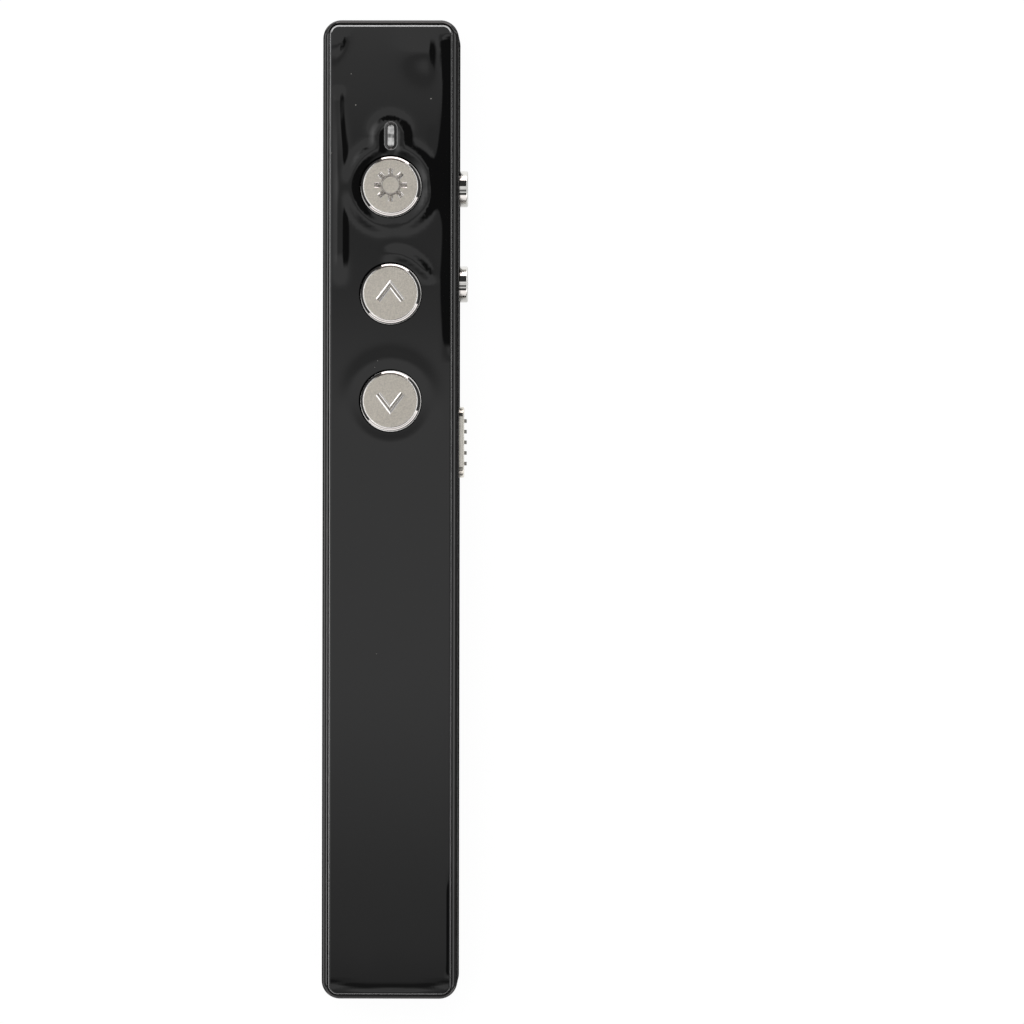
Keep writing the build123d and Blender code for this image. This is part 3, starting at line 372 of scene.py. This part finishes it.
def gloss_panel():
    """Clear gloss over black, with a painted highlight along the cut edge and a fainter one round the light,
    and a few specks of dust.
    """
    made, g = material("front_gloss_black")
    x, y, z = g.xyz()
    dust = None
    for speck_x, speck_y, size in SPECKS:
        away = ((x - speck_x) * (x - speck_x) + (y - speck_y) * (y - speck_y)).root()
        speck = away.step(size, size * 0.5)
        dust = speck if dust is None else dust.most(speck)
    # Painted highlight along the panel's cut edge: wider at the tip, narrower on the right and fainter towards
    # the tail.
    depth = inset(x, y, COVER_OUTLINE)
    at_tip = y.step(66.6, 67.1)
    left = depth.between(-0.02, 0.11, 0.02) * x.step(8, 7)
    right = depth.between(-0.02, 0.07, 0.02) * x.step(7, 8)
    painted_edge_highlight = (left + right) * (1 - at_tip) + depth.between(0.1, 0.3, 0.03) * at_tip
    painted_edge_highlight = painted_edge_highlight * y.step(-66, -56).to(0.75, 1)
    # A fainter painted highlight round the light's slot.
    past_run = y - LIGHT_Y - (y - LIGHT_Y).most(-LIGHT_HALF_RUN).least(LIGHT_HALF_RUN)
    light_slot_highlight = (x * x + past_run * past_run).root().between(0.83, 0.93, 0.04)
    # Both painted highlights together.
    line = painted_edge_highlight.most(light_slot_highlight * 0.3)
    haze = g.noise(14, 3.0)
    swirl = g.noise(0.16, 2.0, stretch=(1, 14, 1)).step(0.66, 0.74)
    highlight_patches = g.noise(3.5, 2.0, stretch=(1, 5, 1))
    ripple = g.noise(9, 1.0, stretch=(1, 2.2, 1))
    black = g.blend(dust, (0.0035, 0.0035, 0.0036), (0.2, 0.19, 0.18))
    # The painted highlights' colour, patchy in brightness.
    pale = g.blend(highlight_patches, (0.5, 0.5, 0.5), (0.8, 0.8, 0.8))
    g.principled(
        Base_Color=g.blend(line * z.step(FRONT_Z - 0.5, FRONT_Z - 0.3), black, pale),
        Roughness=haze.to(0.03, 0.055) + dust * 0.4 + swirl * 0.02 + line * 0.25,
        IOR=1.5,
        Specular_IOR_Level=g.normal()[2].step(0.3, 0.7) * 0.5,
        Normal=g.bump(ripple * 0.012 + dust * 0.01),
    )
    return made


def facing(g):
    """How far a surface is turned away from the eye: 0 face on, 1 edge on."""
    node = g.add("ShaderNodeLayerWeight")
    node.inputs["Blend"].default_value = 0.5
    return Term(g, node.outputs["Facing"])


def case_plastic():
    """Black moulded plastic, fine and dull on the walls. The glossy rim round the front is softly crowned
    along the sides, falls away at the tip and has a painted highlight along its inner lip on the left."""
    made, g = material("case_black")
    _, ny, nz = g.normal()
    x, y, z = g.xyz()
    grain = g.noise(0.14, 2.0)
    cloud = g.noise(6, 2.0)
    near_front = z.step(FRONT_Z - 0.6, FRONT_Z - 0.3)
    from_outside = inset(x, y, BODY_OUTLINE)
    from_seat = 0 - inset(x, y, SEAT_OUTLINE)
    along_side = (from_outside + from_seat).step(0.58, 0.8)
    place = (from_outside - from_seat) * 0.5
    inward = place.most(0)
    bow = place * place * -0.55 - inward * inward * 0.35
    crown = (bow - (z - FRONT_Z).most(-0.25)) * along_side * near_front
    tip = from_outside.least(0.4) * 0.3 * (1 - along_side) * y.step(60, 66) * near_front
    on_rim = from_seat.step(0.04, 0.12).most(z.step(FRONT_Z - 0.1, FRONT_Z - 0.3))
    polish = (nz + abs(ny) * 0.45).step(0.76, 0.93) * on_rim
    # Painted highlight: a paler line along the rim's inner lip on the left.
    painted_lip_highlight = from_seat.between(0.1, 0.22, 0.03) * near_front * x.step(-8, -8.6) * y.step(-67, -60) * 0.05
    colour = g.blend(cloud, (0.0085, 0.0082, 0.0082), (0.0125, 0.012, 0.012))
    # Seen almost edge on, the walls would mirror the white floor, so their gloss fades there.
    wall = nz.step(0.35, 0.15) * facing(g).step(0.95, 0.8)
    g.principled(
        Base_Color=g.blend(painted_lip_highlight, colour, (1.0, 0.97, 0.95)),
        Roughness=cloud.to(0.07, 0.12) + (1 - polish) * 0.22,
        IOR=1.55,
        Specular_IOR_Level=(polish * 0.55).most(wall * 0.5),
        Normal=g.bump(crown + tip + grain * (0.0026 - polish * 0.002)),
    )
    return made


# ---- metals ----------------------------------------------------------------------------------------------
def satin_key():
    """Nickel plate: satin on the flat top, with a painted highlight ring round it and a painted shade line on
    the side towards the tail, polished on the bevel, with painted shade over the bevel towards the tip and on
    the steep sides, and rough and darker in the sunk signs.
    All three keys share it, so y is taken from each's middle."""
    made, g = material("key_satin_nickel")
    nz = g.normal()[2]
    x, y, z = g.xyz()
    first_key = y.step(FIRST_KEY_FROM, FIRST_KEY_FROM + 1)
    dy = g.math("WRAP", y - KEY_YS[2] + KEY_PITCH, KEY_PITCH / 2, -KEY_PITCH / 2)
    radius = (x * x + dy * dy).root()
    flat = nz.step(0.985, 0.999) * radius.step(DISC_RADIUS + 0.06, DISC_RADIUS)
    # Painted shade over the bevel on the side towards the tip, which is also rougher there.
    painted_shade_tip_bevel = radius.between(DISC_RADIUS + 0.02, DISC_RADIUS + 0.24, 0.02) * dy.step(2.4, 3.0)
    # Painted highlight: a pale, non-metal ring round the edge of the flat top.
    painted_highlight_ring = radius.bell(DISC_RADIUS + 0.1, 0.055) * nz.step(0.7, 0.85) * dy.step(3.4, 3.0)
    # Painted shade: a dark line round the bevel on the side towards the tail.
    line = radius.bell(DISC_RADIUS + 0.24, 0.07) * dy.step(-1.0, -2.4)
    # Painted shade on the key's steep sides, which are also rougher.
    side = nz.step(0.75, 0.7)
    blotch = g.noise(2.4, 3.0)
    grain = g.noise(0.09, 3.0)
    speckle = g.noise(0.2, 4.0, 0.7).step(0.3, 0.7)
    grit = g.noise(0.22, 3.0).step(0.42, 0.6) * first_key
    sunk = z.step(KEY_TOP - 0.01, KEY_TOP - 0.05) * radius.step(SIGN_REACH, SIGN_REACH - 0.2)
    sun_disc = radius.step(SUN_RADIUS + 0.05, SUN_RADIUS - 0.05) * first_key * nz.step(0.985, 0.94)
    colour = g.blend(blotch, (0.79, 0.735, 0.65), (0.88, 0.825, 0.735))
    colour = g.blend(speckle, g.blend(0.3, colour, (0.2, 0.19, 0.17)), colour)
    colour = g.blend(flat, (0.96, 0.94, 0.92), colour)
    colour = g.blend(sunk * (grit * 0.4 + 0.45), colour, (0.12, 0.1, 0.08))
    colour = g.blend(sun_disc * 0.8, colour, (0.3, 0.28, 0.25))
    colour = g.blend(painted_shade_tip_bevel, colour, (0.13, 0.122, 0.11))
    colour = g.blend(line * 0.8, colour, (0.1, 0.09, 0.085))
    colour = g.blend(painted_highlight_ring, colour, (0.95, 0.93, 0.9))
    rough = flat * grain.to(0.24, 0.36) + 0.05 + side * 0.2 + sunk * 0.12 + sun_disc * 0.3 + painted_shade_tip_bevel * 0.25
    g.principled(
        Base_Color=g.blend(side, colour, (0.1, 0.098, 0.095)),
        Metallic=1 - painted_highlight_ring,
        Roughness=rough,
        Normal=g.bump((grain * 0.003 + blotch * 0.006) * flat + grit * sunk * 0.02),
    )
    return made


def side_key():
    """Chrome, with painted shade low down, on the side towards the tail and along the outline, where it is also
    a little rougher.
    """
    made, g = material("side_key_chrome")
    nx, ny, nz = g.normal()
    cloud = g.noise(1.6, 3.0)
    turned = g.noise(0.12, 2.0, stretch=(1, 30, 30))
    to_tail, low_down, outline = ny.step(-0.45, -0.7), nz.step(0.3, 0.1), nx.step(0.35, 0.6)
    # Painted shade towards the tail, low down and along the outline, which are also rougher.
    shade_and_dullness = (to_tail * 0.4).most(low_down * 0.34).most(outline * 0.3)
    colour = g.blend(cloud * 0.4 + turned * 0.6, (0.78, 0.77, 0.74), (0.86, 0.85, 0.82))
    g.principled(
        Base_Color=g.blend(shade_and_dullness, colour, (0.2, 0.195, 0.18)),
        Metallic=1.0,
        Roughness=cloud.to(0.04, 0.09) + shade_and_dullness * 0.2,
        Normal=g.bump(turned * 0.002),
    )
    return made


def slider_nickel():
    """Nickel like the keys', with a painted dark reflection on the ribs' tips, which are also rougher."""
    made, g = material("slider_nickel")
    cloud = g.noise(1.6, 3.0)
    scratch = g.noise(0.05, 2.0, stretch=(1, 16, 1))
    # Painted dark reflection on the ribs' tips.
    painted_dark_rib_tips = g.xyz()[0].step(RIB_TIP_X - 0.04, RIB_TIP_X + 0.04)
    colour = g.blend(cloud * 0.5 + scratch * 0.5, (0.73, 0.7, 0.63), (0.8, 0.77, 0.71))
    g.principled(
        Base_Color=g.blend(painted_dark_rib_tips * 0.85, colour, (0.09, 0.086, 0.08)),
        Metallic=1.0,
        Roughness=cloud.to(0.09, 0.17) + scratch * 0.04 + painted_dark_rib_tips * 0.12,
        Normal=g.bump(scratch * 0.0008),
    )
    return made


def polished_metal(name, colour, rough):
    made, g = material(name)
    cloud = g.noise(1.6, 3.0)
    scratch = g.noise(0.05, 2.0, stretch=(1, 1, 16))
    g.principled(
        Base_Color=g.blend(cloud, tuple(c * 0.94 for c in colour), colour),
        Metallic=1.0,
        Roughness=cloud.to(rough * 0.7, rough * 1.4) + scratch * 0.03,
        Normal=g.bump(scratch * 0.0006),
    )
    return made


def brushed_metal(name, colour, rough, along=(1, 18, 1)):
    made, g = material(name)
    brush = g.noise(0.07, 3.0, stretch=along)
    cloud = g.noise(3, 3.0)
    g.principled(
        Base_Color=g.blend(cloud * 0.5 + brush * 0.5, tuple(c * 0.82 for c in colour), colour),
        Metallic=1.0,
        Roughness=(brush * 0.6 + cloud * 0.4).to(rough * 0.75, rough * 1.3),
        Normal=g.bump(brush * 0.002),
    )
    return made


# ---- plastics and the rest -------------------------------------------------------------------------------
def moulded(name, colour, rough, grain_size=0.12, grain_depth=0.004):
    made, g = material(name)
    cloud = g.noise(4, 3.0)
    grain = g.noise(grain_size, 2.0)
    darker, lighter = tuple(c * 0.85 for c in colour), tuple(min(1, c * 1.12) for c in colour)
    g.principled(
        Base_Color=g.blend(cloud, darker, lighter),
        Roughness=cloud.to(rough * 0.85, rough * 1.15),
        IOR=1.5,
        Normal=g.bump(grain * grain_depth),
    )
    return made


def light_plastic():
    """The light's clear lens: paler towards both ends, darker across its middle."""
    made, g = material("light_clear")
    x, y, _ = g.xyz()
    ends = abs(y - LIGHT_Y).between(0.28, 1.3, 0.1) * (1 - abs(x) * 0.5)
    streak = g.noise(0.3, 2.0, stretch=(1, 2.0, 1)).step(0.3, 0.7)
    tone = (ends * 0.62 + streak * 0.4) * abs(x).step(0.48, 0.4)
    g.principled(
        Base_Color=g.blend(tone.most(0).least(1), (0.1, 0.1, 0.1), (0.75, 0.75, 0.74)),
        Roughness=streak.to(0.04, 0.14),
        IOR=1.585,
        Transmission_Weight=0.12,
        Normal=g.bump(streak * 0.01),
    )
    return made


def clear(name, colour, rough, ior, weight=1.0):
    made, g = material(name)
    swirl = g.noise(0.7, 2.0)
    g.principled(
        Base_Color=colour,
        Roughness=swirl.to(rough * 0.6, rough * 1.6),
        IOR=ior,
        Transmission_Weight=weight,
        Normal=g.bump(swirl * 0.003),
    )
    return made


def laminate():
    """Green solder mask with copper tracks below it and tinned pads."""
    made, g = material("board_green")
    wobble = g.noise(5, 1.0)
    lanes = g.math("FRACT", (g.xyz()[0] + wobble * 5) * 0.9)
    tracks = lanes.between(0.32, 0.62, 0.03) * g.noise(9, 0.0).step(0.42, 0.5)
    near, chance = g.cells(1.9)
    pads = near.step(0.17, 0.14) * chance.step(0.6, 0.62)
    green = g.blend(tracks, (0.010, 0.075, 0.032), (0.03, 0.16, 0.06))
    g.principled(
        Base_Color=g.blend(pads, green, (0.62, 0.6, 0.55)),
        Metallic=pads,
        Roughness=pads.to(0.32, 0.25) + g.noise(0.2) * 0.1,
        Normal=g.bump(tracks * 0.02 + pads * 0.03),
    )
    return made


def foil():
    """The battery's pouch: dull aluminium foil with shallow creases."""
    made, g = material("cell_foil")
    crease = g.noise(2.2, 4.0, 0.6)
    folds = g.noise(7, 2.0, stretch=(1, 3, 1))
    g.principled(
        Base_Color=g.blend(crease, (0.62, 0.63, 0.65), (0.8, 0.81, 0.82)),
        Metallic=1.0,
        Roughness=folds.to(0.28, 0.48),
        Normal=g.bump(crease * 0.05 + folds * 0.12),
    )
    return made


def foam():
    made, g = material("foam_black")
    near, chance = g.cells(0.35)
    g.principled(
        Base_Color=g.blend(near, (0.012, 0.012, 0.012), (0.06, 0.06, 0.06)),
        Roughness=chance.to(0.85, 0.97),
        Normal=g.bump(near * 0.06),
    )
    return made


def ceramic():
    """Capacitors: a tan ceramic body between tinned ends."""
    made, g = material("capacitor_tan")
    from_middle = g.math("WRAP", g.xyz()[1] - CAP_FIRST, CAP_PITCH / 2, -CAP_PITCH / 2)
    ends = abs(from_middle).step(CAP_END - 0.02, CAP_END + 0.02)
    speckle = g.noise(0.12, 3.0)
    tan = g.blend(speckle, (0.32, 0.2, 0.11), (0.5, 0.35, 0.2))
    g.principled(
        Base_Color=g.blend(ends, tan, (0.72, 0.71, 0.68)),
        Metallic=ends,
        Roughness=speckle.to(0.3, 0.5),
        Normal=g.bump(speckle * 0.006),
    )
    return made


def dress(names, made):
    """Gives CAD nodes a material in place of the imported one."""
    for name in names:
        data = nodes[name].data
        data.materials.clear()
        data.materials.append(made)


SWITCHES = ("laser", "page_up", "page_down", "upper_side", "lower_side")


def switch_parts(part):
    return [f"{place}_switch_{part}" for place in SWITCHES]


moulded_front()
dress(["rear_case"], case_plastic())
dress(["laser_key", "page_up_key", "page_down_key"], satin_key())
dress(["upper_side_key", "lower_side_key"], side_key())
dress(["power_slider"], slider_nickel())
dress(["light_pipe"], light_plastic())
dress(["laser_window"], clear("window_smoked", (0.16, 0.02, 0.015), 0.05, 1.49, 0.9))
dress(["laser_lens"], clear("lens_clear", (0.95, 0.97, 0.98), 0.02, 1.52))
dress(["receiver_plug"], brushed_metal("plug_steel", (0.74, 0.72, 0.69), 0.26))
dress(["charging_socket_shell"], brushed_metal("socket_steel", (0.74, 0.73, 0.71), 0.22, (18, 1, 1)))
dress(["crystal"], brushed_metal("crystal_can", (0.75, 0.74, 0.72), 0.2, (1, 12, 1)))
dress(["board_screws"], brushed_metal("screw_zinc", (0.62, 0.63, 0.65), 0.24, (1, 1, 8)))
dress(switch_parts("frame"), brushed_metal("switch_steel", (0.76, 0.76, 0.75), 0.2, (1, 14, 1)))
dress(switch_parts("dome"), polished_metal("dome_steel", (0.77, 0.77, 0.76), 0.12))
dress(["receiver_contacts"], polished_metal("contact_gold", (0.85, 0.62, 0.25), 0.16))
dress(["antenna"], brushed_metal("antenna_copper", (0.8, 0.5, 0.3), 0.28, (6, 1, 1)))
dress(["laser_barrel", "laser_diode"], brushed_metal("laser_brass", (0.78, 0.58, 0.26), 0.24, (1, 1, 1)))
dress(["laser_pins"], polished_metal("pin_tin", (0.76, 0.75, 0.72), 0.22))
dress(["receiver_body"], moulded("receiver_black", (0.014, 0.014, 0.0145), 0.3))
dress(["receiver_tongue", "charging_socket_tongue"], moulded("tongue_black", (0.012, 0.012, 0.013), 0.45))
switch_bodies = switch_parts("base") + ["power_switch_case", "power_switch_lever"]
dress(switch_bodies, moulded("switch_nylon", (0.02, 0.02, 0.021), 0.5))
dress(switch_parts("stem"), moulded("stem_ivory", (0.62, 0.58, 0.48), 0.45))
dress(["radio_chip", "charger_chip"], moulded("chip_epoxy", (0.018, 0.018, 0.019), 0.55, 0.06, 0.006))
dress(["status_led"], moulded("led_white", (0.8, 0.79, 0.72), 0.4))
dress(["main_board", "battery_protection_board", "receiver_board", "laser_driver"], laminate())
dress(["battery_cell"], foil())
dress(["battery_pad"], foam())
dress(["battery_lead_positive"], moulded("lead_red", (0.45, 0.015, 0.012), 0.42, 0.3, 0.003))
dress(["battery_lead_negative"], moulded("lead_black", (0.015, 0.015, 0.015), 0.42, 0.3, 0.003))
dress(["board_capacitors"], ceramic())


# ---- floor -----------------------------------------------------------------------------------------------
FLOOR_HALF = 3  # metres
FLOOR_GAP = 0.03  # millimetres below the part, so that the two faces don't coincide
FLOOR_GREY = (0.8, 0.8, 0.8, 1)
FLOOR_SHADOW_GREY = (0.07, 0.07, 0.07, 1)
FLOOR_GLOW = (0.955, 0.955, 0.955, 1)


def coloured(g, kind, colour):
    node = g.add(kind)
    node.inputs["Color"].default_value = colour
    return node.outputs[0]


def floor():
    """A plain floor. The eye and reflections see it almost white, with the part's shadow on it. The light
    that it sends back to the part is a pale grey's."""
    mesh = bpy.data.meshes.new("floor")
    bm = bmesh.new()
    bmesh.ops.create_grid(bm, x_segments=1, y_segments=1, size=FLOOR_HALF)
    bm.to_mesh(mesh)
    bm.free()
    made = bpy.data.objects.new("floor", mesh)
    made.location.z = -FLOOR_GAP * MM
    scene.collection.objects.link(made)
    paint, g = material("floor_white")
    paths = g.add("ShaderNodeLightPath").outputs
    seen = Term(g, paths["Is Camera Ray"]).most(Term(g, paths["Is Glossy Ray"]))
    seen = seen.most(Term(g, paths["Is Transmission Ray"]))
    both = g.add("ShaderNodeAddShader")
    g.feed(both.inputs[0], coloured(g, "ShaderNodeBsdfDiffuse", FLOOR_SHADOW_GREY))
    g.feed(both.inputs[1], coloured(g, "ShaderNodeEmission", FLOOR_GLOW))
    pick = g.add("ShaderNodeMixShader")
    g.feed(pick.inputs[0], seen)
    g.feed(pick.inputs[1], coloured(g, "ShaderNodeBsdfDiffuse", FLOOR_GREY))
    g.feed(pick.inputs[2], both.outputs[0])
    g.surface(pick.outputs[0])
    mesh.materials.append(paint)


floor()


# ---- light -----------------------------------------------------------------------------------------------
# The soft box overhead, along the part: how bright it is near the middle, and each change on the way to its
# ends, as the place where the change starts, where it ends, and how large it is.
BOX_LEVEL = 0.82
BOX_CHANGES = (
    (0.012, 0.058, -0.42),
    (0.072, 0.088, 0.2),
    (0.09, 0.098, 0.18),
    (-0.028, -0.084, -0.34),
    (-0.084, -0.098, -0.2),
    (-0.11, -0.17, -0.2),
    (-0.28, -0.38, 0.55),
)
ALL_ROUND = 0.035  # what glossy surfaces see where there is no lamp
EVEN_GLOW = 0.45  # what dull surfaces get from everywhere
WINDOW_TINT = (1.0, 0.93, 0.92)


def studio():
    """White all round for the eye, an even glow for dull surfaces, and for glossy ones a studio: a soft box
    overhead, a strip and a dim screen at its sides, a window past the tip and a paler wall past the tail."""
    world = bpy.data.worlds.new("studio")
    scene.world = world
    world.use_nodes = True
    g = Graph(world.node_tree)
    x, y, z = g.xyz(g.add("ShaderNodeTexCoord").outputs["Generated"])
    up = z.most(0.02)
    u, v = x / up, y / up
    level = u.step(-0.15, -0.36) * 1.5 + BOX_LEVEL
    for begins, ends, change in BOX_CHANGES:
        level = level + v.step(begins, ends) * change
    box = u.between(-0.6, 0.08, 0.03) * v.between(-0.5, 0.27, 0.03)
    strip = u.between(0.52, 1.5, 0.04) * abs(v).step(2.0, 1.0) * 1.8
    screen = u.between(-3.4, -0.62, 0.1) * abs(v).step(3.0, 2.0) * 0.55
    side = x / (abs(y).most(0.02))
    window = y.step(0.0, 0.02) * v.step(1.4, 1.55) * side.between(-0.34, 0.72, 0.02) * 2.6
    wall = y.step(0.0, -0.02) * v.between(-5.7, -0.87, 0.06) * side.between(-1.19, 2.75, 0.05) * 1.1
    paths = g.add("ShaderNodeLightPath").outputs
    studio_light = g.add("ShaderNodeBackground")
    g.feed(studio_light.inputs["Color"], g.blend(window.most(wall * 0.5).least(1), (1, 1, 1), WINDOW_TINT))
    g.feed(studio_light.inputs["Strength"], box * level + strip + screen + window + wall + ALL_ROUND)
    seen = Term(g, paths["Is Camera Ray"]).most(Term(g, paths["Is Transmission Ray"]))
    even = g.add("ShaderNodeBackground")
    even.inputs["Color"].default_value = (1, 1, 1, 1)
    g.feed(even.inputs["Strength"], seen.to(EVEN_GLOW, 1.0))
    pick = g.add("ShaderNodeMixShader")
    g.feed(pick.inputs[0], paths["Is Glossy Ray"])
    g.feed(pick.inputs[1], even.outputs[0])
    g.feed(pick.inputs[2], studio_light.outputs[0])
    out = g.add("ShaderNodeOutputWorld")
    g.feed(out.inputs["Surface"], pick.outputs[0])


def lamp(name, place, size, power):
    """A soft lamp that aims at the part and doesn't show in reflections."""
    data = bpy.data.lights.new(name, "AREA")
    data.shape = "SQUARE"
    data.size = size
    data.energy = power
    made = bpy.data.objects.new(name, data)
    made.location = place
    made.rotation_mode = "QUATERNION"
    made.rotation_quaternion = (-Vector(place)).to_track_quat("-Z", "Y")
    made.visible_glossy = False
    made.visible_camera = False
    scene.collection.objects.link(made)


studio()
lamp("overhead", (-0.12, 0.22, 0.95), 0.7, 4.6)


# ---- camera ----------------------------------------------------------------------------------------------
# Fitted to the outline, keys and slider in the photograph. Millimetres and degrees. The front lies AT_DISTANCE
# below the camera, and PIXELS_PER_MM is the picture's scale there.
CAMERA_PLACE = (24.305, -0.94, 712)
CAMERA_TURN = (0.051, 0.594, 0.097)
AT_DISTANCE = 700
PIXELS_PER_MM = 7.148
PICTURE_WIDTH = 1024
SENSOR_WIDTH = 36

camera_data = bpy.data.cameras.new("camera")
camera_data.sensor_width = SENSOR_WIDTH
camera_data.lens = PIXELS_PER_MM * AT_DISTANCE / PICTURE_WIDTH * SENSOR_WIDTH
camera_data.clip_start = 0.05
camera_data.clip_end = 20
camera = bpy.data.objects.new("camera", camera_data)
camera.location = [along * MM for along in CAMERA_PLACE]
camera.rotation_euler = Euler([math.radians(angle) for angle in CAMERA_TURN], "XYZ")
scene.collection.objects.link(camera)
scene.camera = camera
scene.view_settings.view_transform = "Standard"
